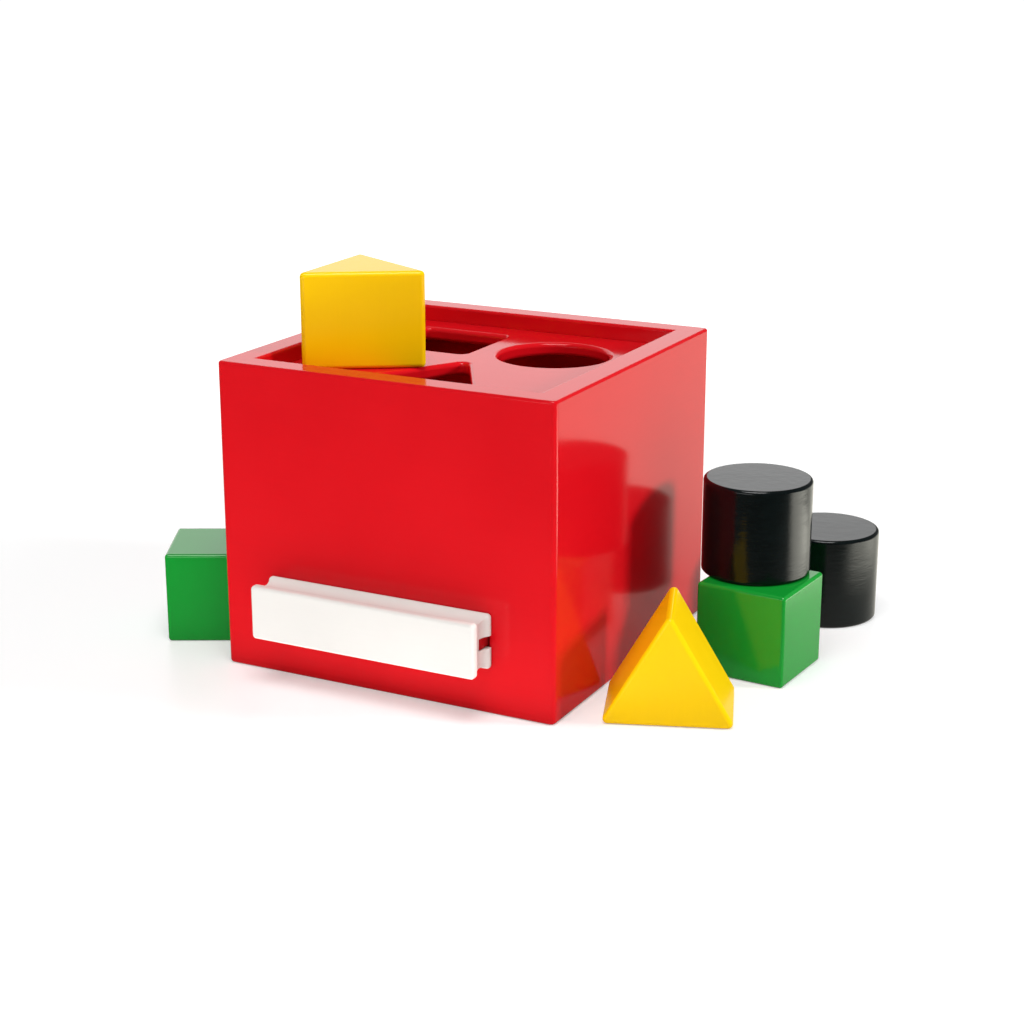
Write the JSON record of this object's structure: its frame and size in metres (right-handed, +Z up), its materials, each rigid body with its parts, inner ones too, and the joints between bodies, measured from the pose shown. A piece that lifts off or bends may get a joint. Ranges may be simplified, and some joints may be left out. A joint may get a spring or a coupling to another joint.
{
  "type": "shape sorter",
  "caption": "Wooden shape sorter: red open-topped box with a recessed panel of square, round and triangular holes, a pull-out floor with a white bar handle, and loose blocks.",
  "frame": {"origin": "on the table, at the middle of the set's footprint; the box's own middle is 9 mm to the left and 15 mm to the front of it", "axes": "+Z up, -Y towards the box's front and its handle, +X to the right as seen from the front"},
  "size_m": [0.285, 0.2164, 0.166],
  "materials": {
    "red_lacquer": "high-gloss red lacquer over smooth wood",
    "red_inside": "satin red lacquer over wood",
    "white_lacquer": "satin white lacquer over wood",
    "yellow_lacquer": "semi-gloss yellow lacquer over wood",
    "green_lacquer": "semi-gloss green lacquer over wood",
    "black_lacquer": "gloss black lacquer over wood, its grain faintly raised"
  },
  "bodies": {
    "box": {"front_wall": "red_lacquer", "back_wall": "red_lacquer", "left_wall": "red_lacquer", "right_wall": "red_lacquer", "sorting_panel": "red_lacquer", "left_rail": "red_inside", "right_rail": "red_inside"},
    "floor": {"sliding_floor": "red_inside", "stop_batten": "red_inside", "floor_handle": "white_lacquer"},
    "upright_prism": {"yellow_prism_upright": "yellow_lacquer"},
    "lying_prism": {"yellow_prism_lying": "yellow_lacquer"},
    "left_cube": {"green_cube_left": "green_lacquer"},
    "right_cube": {"green_cube_right": "green_lacquer"},
    "stacked_cylinder": {"black_cylinder_stacked": "black_lacquer"},
    "rear_cylinder": {"black_cylinder_rear": "black_lacquer"}
  },
  "joints": [
    {"name": "floor_slide", "type": "slide", "parent": "box", "child": "floor", "axis": [0, -1, 0], "range_m": [0, 0.11]},
    {"name": "upright_prism_lift", "type": "slide", "parent": "box", "child": "upright_prism", "axis": [0, 0, 1], "range_m": [0, 0.08]},
    {"name": "lying_prism_lift", "type": "slide", "parent": "box", "child": "lying_prism", "axis": [0, 0, 1], "range_m": [0, 0.08]},
    {"name": "left_cube_lift", "type": "slide", "parent": "box", "child": "left_cube", "axis": [0, 0, 1], "range_m": [0, 0.08]},
    {"name": "right_cube_lift", "type": "slide", "parent": "box", "child": "right_cube", "axis": [0, 0, 1], "range_m": [0, 0.08]},
    {"name": "stacked_cylinder_lift", "type": "slide", "parent": "right_cube", "child": "stacked_cylinder", "axis": [0, 0, 1], "range_m": [0, 0.08]},
    {"name": "rear_cylinder_lift", "type": "slide", "parent": "box", "child": "rear_cylinder", "axis": [0, 0, 1], "range_m": [0, 0.08]}
  ]
}
